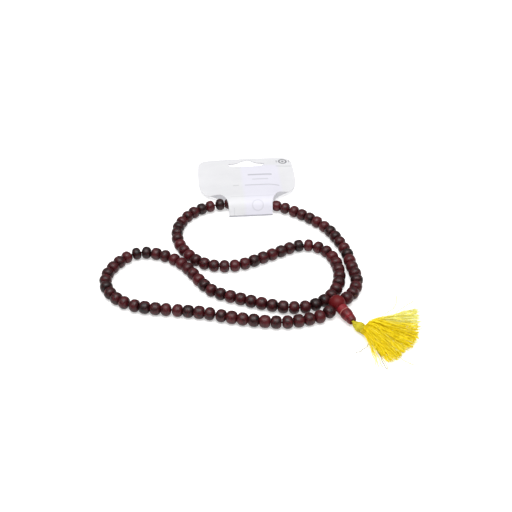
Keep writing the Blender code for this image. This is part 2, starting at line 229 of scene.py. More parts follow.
class Nodes:
    """A short way to write the node tree of a material or a world."""

    def __init__(self, owner):
        owner.use_nodes = True
        self.owner, self.tree = owner, owner.node_tree

    def node(self, kind):
        return self.tree.nodes.new(kind)

    def put(self, socket, value):
        if isinstance(value, bpy.types.NodeSocket):
            self.tree.links.new(value, socket)
        elif value is not None:
            if socket.type == "RGBA" and len(value) == 3:
                value = (*value, 1.0)
            socket.default_value = value

    def source(self, kind, out):
        return self.node(kind).outputs[out]

    def attr(self, name):
        node = self.node("ShaderNodeAttribute")
        node.attribute_name = name
        return node.outputs["Vector"]

    def math(self, operation, first, second=None):
        node = self.node("ShaderNodeMath")
        node.operation = operation
        self.put(node.inputs[0], first)
        self.put(node.inputs[1], second)
        return node.outputs[0]

    def add(self, first, second):
        return self.math("ADD", first, second)

    def times(self, value, by):
        return self.math("MULTIPLY", value, by)

    def minus(self, value, by):
        return self.math("SUBTRACT", value, by)

    def swing(self, value, gain):
        """A 0 to 1 value turned into one that swings about zero."""
        return self.times(self.minus(value, 0.5), gain)

    def vector(self, operation, first, second, out="Vector"):
        node = self.node("ShaderNodeVectorMath")
        node.operation = operation
        self.put(node.inputs[0], first)
        self.put(node.inputs[1], second)
        return node.outputs[out]

    def stretch(self, vector, by):
        return self.vector("MULTIPLY", vector, by)

    def split(self, vector):
        node = self.node("ShaderNodeSeparateXYZ")
        self.put(node.inputs[0], vector)
        return node.outputs

    def join(self, x, y, z):
        node = self.node("ShaderNodeCombineXYZ")
        for socket, value in zip(node.inputs, (x, y, z)):
            self.put(socket, value)
        return node.outputs[0]

    def noise(self, vector, scale=1.0, detail=3.0, roughness=0.55, distortion=0.0):
        node = self.node("ShaderNodeTexNoise")
        self.put(node.inputs["Vector"], vector)
        node.inputs["Scale"].default_value = scale
        node.inputs["Detail"].default_value = detail
        node.inputs["Roughness"].default_value = roughness
        node.inputs["Distortion"].default_value = distortion
        return node.outputs[0]

    def wave(self, vector, scale, distortion, detail, detail_scale, direction):
        node = self.node("ShaderNodeTexWave")
        node.bands_direction = direction
        self.put(node.inputs["Vector"], vector)
        node.inputs["Scale"].default_value = scale
        node.inputs["Distortion"].default_value = distortion
        node.inputs["Detail"].default_value = detail
        node.inputs["Detail Scale"].default_value = detail_scale
        return node.outputs["Fac"]

    def ramp(self, factor, stops):
        node = self.node("ShaderNodeValToRGB")
        self.put(node.inputs[0], factor)
        fill_ramp(node.color_ramp.elements, stops)
        return node.outputs["Color"]

    def mix(self, factor, first, second, blend="MIX"):
        node = self.node("ShaderNodeMix")
        node.data_type = "RGBA"
        node.blend_type = blend
        self.put(node.inputs["Factor"], factor)
        colours = [socket for socket in node.inputs if socket.type == "RGBA"]
        self.put(colours[0], first)
        self.put(colours[1], second)
        return next(socket for socket in node.outputs if socket.type == "RGBA")

    def span(self, value, source, target=(0.0, 1.0)):
        """Map the range source onto the range target."""
        node = self.node("ShaderNodeMapRange")
        self.put(node.inputs["Value"], value)
        node.inputs["From Min"].default_value, node.inputs["From Max"].default_value = source
        node.inputs["To Min"].default_value, node.inputs["To Max"].default_value = target
        return node.outputs[0]

    def bump(self, height, strength, depth=0.05):
        node = self.node("ShaderNodeBump")
        node.inputs["Strength"].default_value = strength
        node.inputs["Distance"].default_value = depth * MM
        self.put(node.inputs["Height"], height)
        return node.outputs[0]

    def finish(self, shader="Principled BSDF", **values):
        """Set the shader's inputs by name, '_' standing for a space, and return the owner."""
        for name, value in values.items():
            self.put(self.tree.nodes[shader].inputs[name.replace("_", " ")], value)
        return self.owner


# =============================================================================
# Materials
# =============================================================================
def rosewood(name, dark, mid, light, roughness=0.27, specular=0.38):
    """Turned heartwood: dark streaks and open pores along the grain.

    'grain' is the place in the wood in mm with +X along the grain; 'tone' is (shade, crimson,
    pale painted highlight); 'turned' runs along the lathe's axis. On the guru and the tower the shade
    also carries painted light.
    """
    m = Nodes(bpy.data.materials.new(name))
    grain = m.attr("grain")
    shade, crimson, painted_highlight = m.split(m.attr("tone"))
    streak = m.noise(m.stretch(grain, by=(0.10, 0.62, 0.62)),
                     detail=4.0, roughness=0.62, distortion=0.6)
    bands = m.wave(m.stretch(grain, by=(0.05, 1.0, 0.35)), scale=0.42, distortion=5.0,
                   detail=3.0, detail_scale=0.7, direction="Y")
    fine = m.noise(m.stretch(grain, by=(0.45, 5.5, 5.5)), roughness=0.6)
    blotch = m.noise(grain, scale=0.22, detail=2.0, roughness=0.5)
    base_shade = 0.02
    factor = m.add(base_shade, m.swing(streak, gain=1.5))
    factor = m.add(factor, m.times(bands, by=0.34))
    factor = m.add(factor, m.swing(fine, gain=0.45))
    factor = m.add(factor, m.swing(blotch, gain=0.7))
    factor = m.add(factor, m.times(shade, by=0.75))
    colour = m.ramp(factor, stops=[(0.16, dark), (0.46, mid), (0.84, light)])
    colour = m.mix(m.times(crimson, by=0.6), colour, light)
    pores = m.noise(m.stretch(grain, by=(0.55, 9.0, 9.0)), detail=1.0, roughness=0.5)
    pore = m.ramp(pores, stops=[(0.33, 1.0), (0.41, 0.0)])
    pore_colour = tuple(c * 0.35 for c in dark)
    colour = m.mix(m.times(pore, by=0.5), colour, pore_colour)
    # painted highlight: a pale colour laid where the tone's third value is set, on the tower groove's
    # lip
    painted_highlight_colour = (0.62, 0.27, 0.24)
    colour = m.mix(painted_highlight, colour, painted_highlight_colour)
    rough = m.add(m.span(fine, source=(0.3, 0.7), target=(roughness - 0.05, roughness + 0.08)),
                  m.times(pore, by=0.12))
    lathe = m.wave(m.attr("turned"), scale=1.0, distortion=0.6, detail=1.0, detail_scale=3.0,
                   direction="X")
    height = m.add(m.times(fine, by=0.5), m.times(pore, by=-0.8))
    height = m.add(height, m.times(lathe, by=0.10))
    return m.finish(Base_Color=colour, Roughness=rough, Normal=m.bump(height, strength=0.5),
                    Coat_Weight=0.0, Coat_Roughness=0.3, Specular_IOR_Level=specular)


def thread_material(name, stops, roughness, sheen=0.0, glow=0.0):
    """Fine silky thread, with painted shade in the furrows between its plies and a painted glow of
    strength glow.

    'along' is (mm along the thread, angle, per-thread number); 'tone' starts with the shade.
    """
    m = Nodes(bpy.data.materials.new(name))
    length, angle, number = m.split(m.attr("along"))
    shade = m.split(m.attr("tone"))[0]
    ply = m.math("SINE", m.add(m.times(length, by=5.2), m.times(angle, by=2.0)))
    mottle = m.noise(m.join(m.times(length, by=0.22), m.times(number, by=3.7), 0.0),
                     detail=2.0, roughness=0.5)
    colour = m.ramp(m.add(shade, m.swing(mottle, gain=0.30)), stops)
    # painted shade: a darker, browner colour in the furrows between the plies
    furrow_shade = m.span(ply, source=(-1.0, 1.0), target=(0.16, 0.0))
    furrow_shade_tint, furrow_shade_share = (0.25, 0.16, 0.0), 0.55
    colour = m.mix(furrow_shade, colour, m.mix(furrow_shade_share, colour, furrow_shade_tint, blend="MULTIPLY"))
    rough = m.span(mottle, source=(0.2, 0.8), target=(roughness - 0.08, roughness + 0.1))
    # the emission is painted light: a glow that brightens the thread
    return m.finish(Base_Color=colour, Roughness=rough, Emission_Color=colour,
                    Emission_Strength=glow, Normal=m.bump(ply, strength=0.5), Sheen_Weight=sheen,
                    Sheen_Roughness=0.4, Specular_IOR_Level=0.25)


# Grey bars printed on the card, the last one a line of painted shade along the crease: (from u, to u,
# middle v, half height, ink)
CARD_BARS = [
    (1.0, 20.0, 53.8, 1.0, 0.42), (4.0, 16.5, 46.4, 0.7, 0.28), (-2.4, 24.4, 37.0, 0.8, 0.32),
    (-11.6, -7.0, 37.2, 0.8, 0.24), (24.8, 36.6, 67.2, 0.4, 0.36), (25.2, 26.0, 74.4, 1.5, 0.55),
    (35.2, 36.0, 74.4, 1.5, 0.55), (-12.6, -12.0, 3.0, 3.2, 0.16), (-14.5, 21.0, 17.0, 0.5, 0.13)]
# Rings printed on the card: (u, v, radius, half line width, ink)
CARD_RINGS = [(30.6, 74.4, 2.9, 0.95, 0.85), (30.6, 74.4, 0.3, 1.1, 0.9),
              (5.4, 7.6, 4.0, 0.7, 0.17)]


def card_material():
    """Coated white card: fibre mottle, a faint tinted panel, plain grey bars and rings, a painted
    shade line along the crease, painted shade under the fold and a painted glow, stronger on the back
    leaf.

    'card' is (u: mm across, v: mm up along the sheet from the fold, 1 on the printed face);
    'tone' is (cut edge, back leaf: painted glow, underside of the fold: painted shade).
    """
    m = Nodes(bpy.data.materials.new("coated_card"))
    u, v, face = m.split(m.attr("card"))

    def inside(u0, u1, v0, v1, soft):
        du = m.minus((u1 - u0) / 2, m.math("ABSOLUTE", m.minus(u, (u0 + u1) / 2)))
        dv = m.minus((v1 - v0) / 2, m.math("ABSOLUTE", m.minus(v, (v0 + v1) / 2)))
        return m.span(m.math("MINIMUM", du, dv), source=(-soft, soft))

    def squared_offset(value, middle):
        return m.math("POWER", m.math("ABSOLUTE", m.minus(value, middle)), 2.0)

    def ring(u_mid, v_mid, radius, width):
        far = m.math("SQRT", m.add(squared_offset(u, u_mid), squared_offset(v, v_mid)))
        return m.span(m.math("ABSOLUTE", m.minus(far, radius)), source=(width, width * 0.3))

    fibre = m.noise(m.join(u, v, 0.0), scale=1.3, detail=4.0, roughness=0.6)
    mottle = m.noise(m.join(m.times(u, by=0.06), m.times(v, by=0.08), 2.0),
                     detail=2.0, roughness=0.5)
    white_low, white_high, fibre_grey = (0.70, 0.70, 0.722), (0.735, 0.735, 0.752), (0.62, 0.62, 0.65)
    panel_tint, ink_and_shade_colour = (0.735, 0.72, 0.83), (0.10, 0.10, 0.115)
    edge_grey, fold_shade_grey = (0.55, 0.55, 0.56), (0.16, 0.16, 0.19)

    colour = m.mix(m.span(mottle, source=(0.3, 0.7)), white_low, white_high)
    colour = m.mix(m.span(fibre, source=(0.25, 0.75), target=(0.0, 0.10)), colour, fibre_grey)
    panel = m.times(inside(u0=-4.0, u1=26.0, v0=-3.0, v1=69.0, soft=1.5), by=face)
    colour = m.mix(m.times(panel, by=0.6), colour, panel_tint)
    marks = [m.times(inside(u0, u1, mid - half, mid + half, soft=0.3), by=dark)
             for u0, u1, mid, half, dark in CARD_BARS]
    marks += [m.times(ring(*shape), by=dark) for *shape, dark in CARD_RINGS]
    # the printed marks and the painted shade line along the crease
    ink_and_crease_shade = marks[0]
    for mark in marks[1:]:
        ink_and_crease_shade = m.math("MAXIMUM", ink_and_crease_shade, mark)
    ink_and_crease_shade = m.times(m.times(ink_and_crease_shade, by=face), by=m.span(fibre, source=(0.2, 0.6), target=(0.75, 1.0)))
    colour = m.mix(ink_and_crease_shade, colour, ink_and_shade_colour)
    edge = m.split(m.attr("tone"))[0]
    colour = m.mix(m.times(edge, by=0.45), colour, edge_grey)
    # painted shade: the fold's underside curl is darkened to grey
    fold_shade = m.split(m.attr("tone"))[2]
    colour = m.mix(m.times(fold_shade, by=0.75), colour, fold_shade_grey)
    height = m.add(m.times(fibre, by=0.7), m.times(mottle, by=0.5))
    rough = m.span(fibre, source=(0.2, 0.8), target=(0.42, 0.56))
    normal = m.bump(height, strength=0.25)
    # painted light: the card glows a little all over, and more on the back leaf, to lighten the shade
    # under the front leaf
    painted_card_glow = 0.07
    glow = m.add(painted_card_glow, m.times(m.split(m.attr("tone"))[1], by=0.30))
    return m.finish(Base_Color=colour, Roughness=rough, Normal=normal, Specular_IOR_Level=0.4,
                    Emission_Color=colour, Emission_Strength=glow)


# =============================================================================
# Mesh helpers
# =============================================================================
def drift(x, y, z):
    """Smooth noise about zero."""
    return noise.noise(Vector((x, y, z)))


def clamp(x, low=0.0, high=1.0):
    return max(low, min(high, x))


def set_attributes(mesh, attrs):
    """attrs: name -> one vector a vertex."""
    for name, values in attrs.items():
        attribute = mesh.attributes.new(name, "FLOAT_VECTOR", "POINT")
        attribute.data.foreach_set("vector", np.asarray(values, np.float32).ravel())


def smooth_shade(mesh, angle):
    mesh.shade_smooth()
    mesh.set_sharp_from_angle(angle=math.radians(angle))


def link_object(name, mesh):
    ob = bpy.data.objects.new(name, mesh)
    scene.collection.objects.link(ob)
    return ob


def new_object(name, verts, faces, mat, smooth_angle=40.0, attrs=None):
    mesh = bpy.data.meshes.new(name)
    mesh.from_pydata([tuple(v) for v in np.asarray(verts, float) * MM], [], faces)
    mesh.materials.append(mat)
    set_attributes(mesh, attrs or {})
    mesh.validate()
    smooth_shade(mesh, smooth_angle)
    ob = link_object(name, mesh)
    return ob


def place_piece(ob, node):
    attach(ob, NODE_BODY[node])
    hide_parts(node)


def revolve(profile, axis, origin, segments, wobble, seed):
    """A closed profile [(radius, height)] turned about axis at origin.

    The profile runs down the outer side and back up the bore, so its faces point out.
    Returns verts, faces, local coordinates with the axis along z.
    """
    turn = Vector((0, 0, 1)).rotation_difference(Vector(axis).normalized())
    verts, local, faces = [], [], []
    count = len(profile)
    for s in range(segments):
        a = 2 * math.pi * s / segments
        for radius, z in profile:
            rough = radius + wobble * drift(math.cos(a) * 0.8 + seed, math.sin(a) * 0.8, z * 0.25)
            point = Vector((rough * math.cos(a), rough * math.sin(a), z))
            local.append(tuple(point))
            verts.append(origin + turn @ point)
        here, there = s * count, (s + 1) % segments * count
        for k in range(count):
            after = (k + 1) % count
            faces.append((here + k, here + after, there + after, there + k))
    return verts, faces, local


def sweep(points, radii, sides, phase=0.0):
    """A closed round bar along a polyline, with pointed ends.

    Returns verts, faces, (mm along, angle) of each vertex.
    """
    count = len(points)
    tangents = [(points[min(count - 1, i + 1)] - points[max(0, i - 1)]).normalized()
                for i in range(count)]
    up = Vector((0, 0, 1)) if abs(tangents[0].z) < 0.9 else Vector((1, 0, 0))
    normal = (up - tangents[0] * up.dot(tangents[0])).normalized()
    verts, faces, along = [], [], []
    length = 0.0
    for i, (point, radius, tangent) in enumerate(zip(points, radii, tangents)):
        if i:
            length += (point - points[i - 1]).length
            normal = (normal - tangent * normal.dot(tangent)).normalized()
        side = tangent.cross(normal)
        for k in range(sides):
            a = 2 * math.pi * k / sides + phase
            verts.append(point + normal * (radius * math.cos(a)) + side * (radius * math.sin(a)))
            along.append((length, a))
    for i in range(count - 1):
        for k in range(sides):
            after = (k + 1) % sides
            faces.append((i * sides + k, i * sides + after,
                          (i + 1) * sides + after, (i + 1) * sides + k))
    first, last = len(verts), len(verts) + 1
    verts.append(points[0] - tangents[0] * radii[0] * 0.5)
    verts.append(points[-1] + tangents[-1] * radii[-1] * 0.5)
    along += [(0.0, 0.0), (length, 0.0)]
    for k in range(sides):
        after = (k + 1) % sides
        faces.append((first, after, k))
        faces.append((last, (count - 1) * sides + k, (count - 1) * sides + after))
    return verts, faces, along


def thread_attrs(along, number, tone):
    """A thread's attributes, all of it in one tone."""
    return {"along": [(length, a, number) for length, a in along],
            "tone": [(tone, 0, 0)] * len(along)}


def merge(parts):
    """Join (verts, faces, attributes) into one."""
    verts, faces, attrs = [], [], {}
    for part_verts, part_faces, part_attrs in parts:
        base = len(verts)
        verts += list(part_verts)
        faces += [tuple(k + base for k in face) for face in part_faces]
        for name, values in part_attrs.items():
            attrs.setdefault(name, []).extend(values)
    return verts, faces, attrs


def boolean_cut(ob, cutters):
    """Cut the cutters out of ob, apply all its modifiers and delete the cutters."""
    bpy.context.view_layer.update()
    for cutter in cutters:
        mod = ob.modifiers.new("hole", "BOOLEAN")
        mod.operation, mod.solver, mod.object = "DIFFERENCE", "EXACT", cutter
    bpy.context.view_layer.update()
    evaluated = ob.evaluated_get(bpy.context.evaluated_depsgraph_get())
    mesh = bpy.data.meshes.new_from_object(evaluated)
    ob.modifiers.clear()
    old, ob.data = ob.data, mesh
    bpy.data.meshes.remove(old)
    for cutter in cutters:
        bpy.data.objects.remove(cutter, do_unlink=True)


# =============================================================================
# Counting beads
# =============================================================================
BEAD_RADIUS = 4.26          # the smallest, before a random share of BEAD_SPREAD
BEAD_SPREAD = 0.12
CARD_BEAD_RADIUS = 4.02     # inside the card's fold
BEAD_BORE = 0.72
BORE_FLARE = 0.16           # the bore widens by this at its ends
BEAD_STEPS = 16

WOOD = rosewood("rosewood", dark=(0.0046, 0.0021, 0.0022), mid=(0.031, 0.0045, 0.0055),
                light=(0.098, 0.0085, 0.0125))
# numbers of the beads cut from near-black wood, and of the crimson ones
NEAR_BLACK = {8, 12, 25, 27, 31, 32, 43, 48, 59, 60, 69, 71, 79, 80, 86, 91, 95, 101}
CRIMSON = {7, 9, 13, 14, 17, 19, 26, 34, 36, 41, 49, 52, 72, 75, 81, 94, 102, 107}


def bead_tone(i):
    """(shade 0 dark to 1 light, share of crimson) of one bead."""
    rng = random.Random(1000 + i * 17)
    if i + 1 in NEAR_BLACK:
        return 0.12 + 0.18 * rng.random(), 0.0
    if i + 1 in CRIMSON:
        return 0.66 + 0.12 * rng.random(), 0.35 + 0.3 * rng.random()
    return 0.34 + 0.30 * rng.random(), 0.10 * rng.random()


def half_trim(k):
    """Half the free length at a gap: bead ends just clear each other, with more room at a fold."""
    bend = 0.0
    if 0 < k < BEADS:
        bend = (GAPS[k] - GAPS[k - 1]).angle(GAPS[k + 1] - GAPS[k])
    if k in FOLDS:
        return 1.35 * math.tan(bend / 2 + math.radians(10))
    return 0.04 + 1.9 * math.tan(bend / 2)


def under_card(point):
    """Whether a bead lies in the narrower room inside the card's fold."""
    return abs((point - FOLD).dot(ACROSS)) < 21.0 and (point - FOLD).length < 28.0


def build_bead(i):
    start, end = GAPS[i], GAPS[i + 1]
    way = (end - start).normalized()
    start, end = start + way * half_trim(i), end - way * half_trim(i + 1)
    middle, half = (start + end) / 2, (end - start).length / 2
    rng = random.Random(i * 31 + 5)
    radius = CARD_BEAD_RADIUS
    if not under_card(middle):
        radius = BEAD_RADIUS + BEAD_SPREAD * rng.random()
    # (roundness exponent, end radius); ends at a fold line are rounder, to clear each other bent
    plain_end = (2.35 + 0.40 * rng.random(), 1.85 + 0.35 * rng.random())
    fold_end = (2.16 + 0.06 * rng.random(), 1.25)
    flare = BEAD_BORE + BORE_FLARE
    profile = [(flare, half - 0.03)]
    for k in range(BEAD_STEPS + 1):
        z = half * math.cos(math.pi * k / BEAD_STEPS)       # closer together at the ends
        power, rim = fold_end if (i + 1 if z > 0 else i) in FOLDS else plain_end
        uncut = half / (1 - (rim / radius) ** power) ** (1 / power)
        profile.append((radius * (1 - (abs(z) / uncut) ** power) ** (1 / power), z))
    profile += [(flare, -half + 0.03), (BEAD_BORE, -half + 0.22), (BEAD_BORE, half - 0.22)]
    verts, faces, local = revolve(profile, way, middle, segments=32, wobble=0.07, seed=i * 3.1)

    spin_axis = Vector((rng.random() - .5, rng.random() - .5, rng.random() - .5)).normalized()
    spin = Quaternion(spin_axis, rng.random() * 6.28)
    offset = Vector((rng.random() * 80, rng.random() * 80, rng.random() * 80))
    attrs = {"grain": [tuple(spin @ Vector(p) + offset) for p in local],
             "tone": [(*bead_tone(i), 0.0)] * len(verts),
             "turned": [(p[2] * 1.6, 0, 0) for p in local]}
    ob = new_object(f"bead_{i + 1:03d}_turned", verts, faces, WOOD, 35.0, attrs)
    place_piece(ob, BEAD_NODE[i])


for bead in range(BEADS):
    build_bead(bead)


# =============================================================================
# Cord: one length across each fold line; the lengths meet in the middle of the
# rigid stretches
# =============================================================================
CORD_RADIUS = 0.56
CORD_STEP = 0.45
GURU_ENDS = (1.0, 5.0)          # how far from the guru's middle the outermost cord points are

CORD_MAT = thread_material("waxed_cord", stops=[(0.0, (0.010, 0.004, 0.004)),
                                                (1.0, (0.045, 0.014, 0.014))],
                           roughness=0.6, sheen=0.2)


def cord_piece(name, points):
    fine = []
    for a, b in zip(points, points[1:]):
        count = max(2, int((b - a).length / CORD_STEP))
        fine += [a.lerp(b, k / count) for k in range(count)]
    fine.append(points[-1])
    verts, faces, along = sweep(fine, [CORD_RADIUS] * len(fine), sides=12)
    ob = new_object(name, verts, faces, CORD_MAT, 50.0,
                    thread_attrs(along, number=0.3, tone=0.5))
    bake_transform(ob)
    return ob


def build_cord():
    # each rigid stretch is cut inside its middle bead; the first and last run on into the guru
    runs = [list(run) for _, run in groupby(range(BEADS), key=link_of)]
    cuts = [(GAPS[run[len(run) // 2]] + GAPS[run[len(run) // 2] + 1]) / 2 for run in runs]
    near, far = GURU_ENDS
    for k, (run, after) in enumerate(zip(runs, runs[1:])):
        if k == 0:
            head = [GURU + EXIT_A * near, GURU + EXIT_A * far] + [GAPS[i] for i in run]
        else:
            head = [cuts[k]] + [GAPS[i] for i in run[len(run) // 2 + 1:]]
        if k == len(runs) - 2:
            tail = [GAPS[i] for i in after]
            tail += [GAPS[after[-1] + 1], GURU + EXIT_B * far, GURU + EXIT_B * near]
        else:
            tail = [GAPS[i] for i in after[:len(after) // 2 + 1]] + [cuts[k + 1]]
        cord_piece(f"cord_length_{k + 1:02d}", head + tail)
    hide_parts("cord")


build_cord()


# =============================================================================
# Guru bead and tower
# =============================================================================
GURU_RADIUS = 5.58
GURU_HALF = 5.35                # half length of the ball the guru is turned to
GURU_END = 5.2                  # height of the flat at either end
GURU_END_RADIUS = 0.9
GURU_STEPS = 26
CORD_HOLE = 1.05                # hole radii
TOWER_HOLE = 1.45
TOWER_START = 5.95              # from the guru's middle
TOWER_LENGTH = 12.3             # without the collar's rim, which reaches back past this

# The tower's section: (radius, height back from the tassel end), from the guru end down.
TOWER_PROFILE = [
    # collar
    (2.3, 12.55), (2.9, 12.9), (3.35, 13.25), (3.62, 13.36), (3.80, 13.2), (3.86, 12.8),
    (3.82, 12.2), (3.76, 11.4), (3.72, 10.6), (3.70, 10.0), (3.74, 9.72), (3.70, 9.55),
    # groove and swelling body
    (3.36, 9.42), (3.26, 9.32), (3.28, 9.18), (3.55, 9.05), (3.74, 8.85), (3.90, 8.4),
    (3.98, 7.8), (4.00, 7.2), (3.96, 6.6), (3.86, 5.9), (3.70, 5.1), (3.52, 4.4), (3.38, 3.95),
    # groove and foot
    (3.20, 3.78), (3.02, 3.68), (2.98, 3.56), (3.04, 3.44), (3.22, 3.32), (3.30, 3.1),
    (3.28, 2.6), (3.20, 1.9), (3.06, 1.2), (2.88, 0.55), (2.62, 0.12), (2.3, 0.0),
    # bore
    (1.5, 0.05), (1.25, 0.4), (1.25, 12.0), (1.6, 12.35)]

GURU_MAT = rosewood("brick_red_wood", dark=(0.13, 0.006, 0.008), mid=(0.30, 0.016, 0.020),
                    light=(0.40, 0.030, 0.034), roughness=0.42, specular=0.22)
TOWER_MAT = rosewood("dark_red_wood", dark=(0.040, 0.0030, 0.0040), mid=(0.125, 0.0070, 0.0100),
                     light=(0.24, 0.013, 0.020), roughness=0.34, specular=0.34)


def guru_tone(vert):
    """Painted light: lighter on the side that faces up and a little to +X, darker away from it."""
    painted_light_side = Vector((0.42, 0.22, 0.88))
    facing = (Vector(vert) - GURU).normalized().dot(painted_light_side)
    return 0.30 + 0.62 * max(0.0, 0.5 + 0.55 * facing), 0.12, 0


def build_guru():
    """A slightly flattened ball about the strand's line, with holes for both cords and tower."""
    profile = [(GURU_END_RADIUS, GURU_END)]
    for k in range(1, GURU_STEPS):
        a = math.pi * k / GURU_STEPS
        profile.append((max(GURU_RADIUS * math.sin(a), GURU_END_RADIUS), GURU_HALF * math.cos(a)))
    profile.append((GURU_END_RADIUS, -GURU_END))
    verts, faces, local = revolve(profile, (EXIT_A - EXIT_B).normalized(), GURU,
                                  segments=56, wobble=0.05, seed=9.0)
    attrs = {"grain": [tuple(Vector(p) * 0.8 + Vector((31, 7, 11))) for p in local],
             "tone": [guru_tone(v) for v in verts],
             "turned": [(p[2] * 1.2, 0, 0) for p in local]}
    ob = new_object("guru_bead_turned", verts, faces, GURU_MAT, 40.0, attrs)
    cutters = []
    holes = ((EXIT_A, CORD_HOLE), (EXIT_B, CORD_HOLE), (TOWER_AXIS, TOWER_HOLE))
    for k, (way, radius) in enumerate(holes):
        # a straight hole, flared where it leaves the ball
        verts, faces, _ = sweep([GURU + way * far for far in (1.5, 5.05, 5.35, 8.0)],
                                [radius, radius, radius + 0.28, radius + 0.9], sides=28)
        cutters.append(new_object(f"hole_{k}", verts, faces, GURU_MAT))
    boolean_cut(ob, cutters)
    ob.data.set_sharp_from_angle(angle=math.radians(40))
    place_piece(ob, "guru_bead")


def tower_tone(height):
    """A light crimson collar, a pale painted highlight on the groove's lip below it, and a painted
    highlight as a lighter band above the foot.
    """
    collar = height > 9.6
    # painted highlight: the band above the foot is lighter (first value); the groove's lip gets a
    # pale painted highlight (third value)
    shade = 1.0 if collar else 0.34 + (0.40 if 3.0 < height < 4.8 else 0.0)
    return shade, 0.9 if collar else 0.05, 0.75 if 9.25 < height < 9.6 else 0.0


def build_tower():
    end = GURU + TOWER_AXIS * TOWER_START + TOWER_AXIS * TOWER_LENGTH
    verts, faces, local = revolve(TOWER_PROFILE, -TOWER_AXIS, end,
                                  segments=48, wobble=0.04, seed=4.0)
    attrs = {"grain": [tuple(Vector((z, x, y)) + Vector((5, 17, 3))) for x, y, z in local],
             "tone": [tower_tone(p[2]) for p in local],
             "turned": [(p[2] * 1.4, 0, 0) for p in local]}
    ob = new_object("guru_tower_turned", verts, faces, TOWER_MAT, 38.0, attrs)
    place_piece(ob, "guru_tower")


build_guru()
build_tower()


# =============================================================================
# Tassel: cord through the tower, wound neck, threads
# =============================================================================
TASSEL_CORD_RADIUS = 0.95
TASSEL_CORD_SIDES = 16

# The neck's radius, pinched in by the winding, at distances from BIND along the neck
NECK_AT = (-1.5, -0.6, 0.2, 1.2, 2.6, 4.0, 5.6, 7.0, 8.4)
NECK_RADIUS = (1.35, 1.95, 2.3, 2.5, 2.6, 2.7, 2.9, 3.2, 3.4)

# Rings of threads in the neck: (threads, share of the neck's radius)
HANK_RINGS = ((34, 1.0), (24, 0.72), (14, 0.42))
# Windings round the neck: (from, to along the neck, height over it, turns, seed, tone)
WINDINGS = ((1.5, 5.3, 0.14, 9, 3, 0.5), (2.3, 4.1, 0.52, 4, 9, 0.6))
STEPS_A_TURN = 26

# Locks: (heading deg, half spread deg, length, threads, tip height low, high, lift, tone,
#         how far the lock's start sits to BIND_SIDE, -1 to 1)
LOCKS = [
    (-57, 3.5, 26.0, 24, 0.3, 2.0, 1.6, 0.50, -0.9),
    (-53, 4.5, 27.3, 34, 0.3, 3.0, 2.4, 0.58, -0.7),
    (-47.5, 5.0, 28.2, 38, 0.3, 3.4, 2.8, 0.54, -0.55),
    (-42, 4.5, 27.5, 36, 0.4, 3.8, 3.2, 0.64, -0.3),
    (-35, 5.0, 27.5, 40, 0.4, 4.0, 3.6, 0.56, -0.15),
    (-28, 5.0, 28.5, 40, 0.4, 4.2, 4.2, 0.62, 0.0),
    (-21, 5.0, 30.0, 40, 0.4, 4.2, 4.8, 0.54, 0.15),
    (-14, 5.0, 31.0, 38, 0.4, 4.0, 5.2, 0.62, 0.3),
    (-7, 5.0, 31.8, 38, 0.4, 3.8, 5.4, 0.56, 0.45),
    (0, 4.5, 32.4, 36, 0.3, 3.4, 5.4, 0.62, 0.6),
    (6, 4.0, 33.2, 30, 0.3, 2.8, 5.0, 0.62, 0.7),
    (12, 3.0, 34.2, 22, 0.3, 2.2, 4.6, 0.70, 0.8),
    (17.5, 2.6, 35.5, 14, 0.3, 2.0, 4.2, 0.86, 0.85),
    (23.0, 2.8, 37.2, 13, 0.3, 2.2, 4.0, 0.92, 0.9),
    (28.0, 2.8, 39.0, 18, 0.3, 2.6, 3.6, 0.92, 0.9),
    (32.0, 2.0, 40.3, 12, 0.3, 2.2, 3.0, 0.96, 0.95)]
# Loose threads strayed from the fan: (tip x, tip y from SKIRT, bow, waviness, radius, tone)
STRAYS = [
    (10.5, -29.4, 9.0, 2.0, 0.17, 0.02), (11.6, -29.8, 8.0, 3.2, 0.16, 0.15),
    (7.0, -26.8, 8.0, 2.2, 0.22, 0.85), (5.6, -25.2, 8.0, 3.0, 0.18, 0.8),
    (8.3, -27.6, 8.0, 2.6, 0.18, 0.6), (-6.5, -15.0, 13.0, 2.4, 0.19, 0.03),
    (26.1, 38.8, 8.0, 4.0, 0.17, 0.2), (33.5, 32.2, 9.0, 2.5, 0.16, 0.4),
    (37.0, 12.0, 9.0, 2.0, 0.15, 0.9), (36.5, 16.5, 9.0, 2.5, 0.14, 0.95),
    (26.0, -27.0, 9.0, 2.0, 0.16, 0.3), (36.0, 5.0, 9.0, 1.6, 0.15, 0.35)]

# glow: painted light that lifts the shade inside the tassel and binding
YELLOW = thread_material(
    "tassel_thread", stops=[(0.0, (0.07, 0.06, 0.01)), (0.09, (0.36, 0.30, 0.002)),
                            (0.35, (0.86, 0.62, 0.001)), (0.7, (0.97, 0.80, 0.006)),
                            (1.0, (0.98, 0.96, 0.30))], roughness=0.55, glow=0.07)
OLIVE = thread_material(
    "binding_thread", stops=[(0.0, (0.26, 0.21, 0.006)), (0.5, (0.60, 0.50, 0.018)),
                             (1.0, (0.92, 0.84, 0.10))], roughness=0.55, glow=0.06)


def build_tassel_cord():
    points = [GURU + TOWER_AXIS * far for far in np.linspace(2.0, 19.5, 30)]
    points += [BIND + BIND_AXIS * far for far in (0.4, 1.2, 2.2)]
    verts, faces, along = sweep(points, [TASSEL_CORD_RADIUS] * len(points), TASSEL_CORD_SIDES)
    # a plain two-ply twist cut into the surface; the two end points stay
    twisted = []
    for k, (vert, (length, a)) in enumerate(zip(verts[:-2], along)):
        middle = points[k // TASSEL_CORD_SIDES]
        twisted.append(middle + (vert - middle) * (1 + 0.10 * math.cos(2 * a + length * 2.6)))
    ob = new_object("tassel_cord_twisted", twisted + verts[-2:], faces, OLIVE,
                    60.0, thread_attrs(along, number=0.2, tone=0.45))
    place_piece(ob, "tassel_cord")


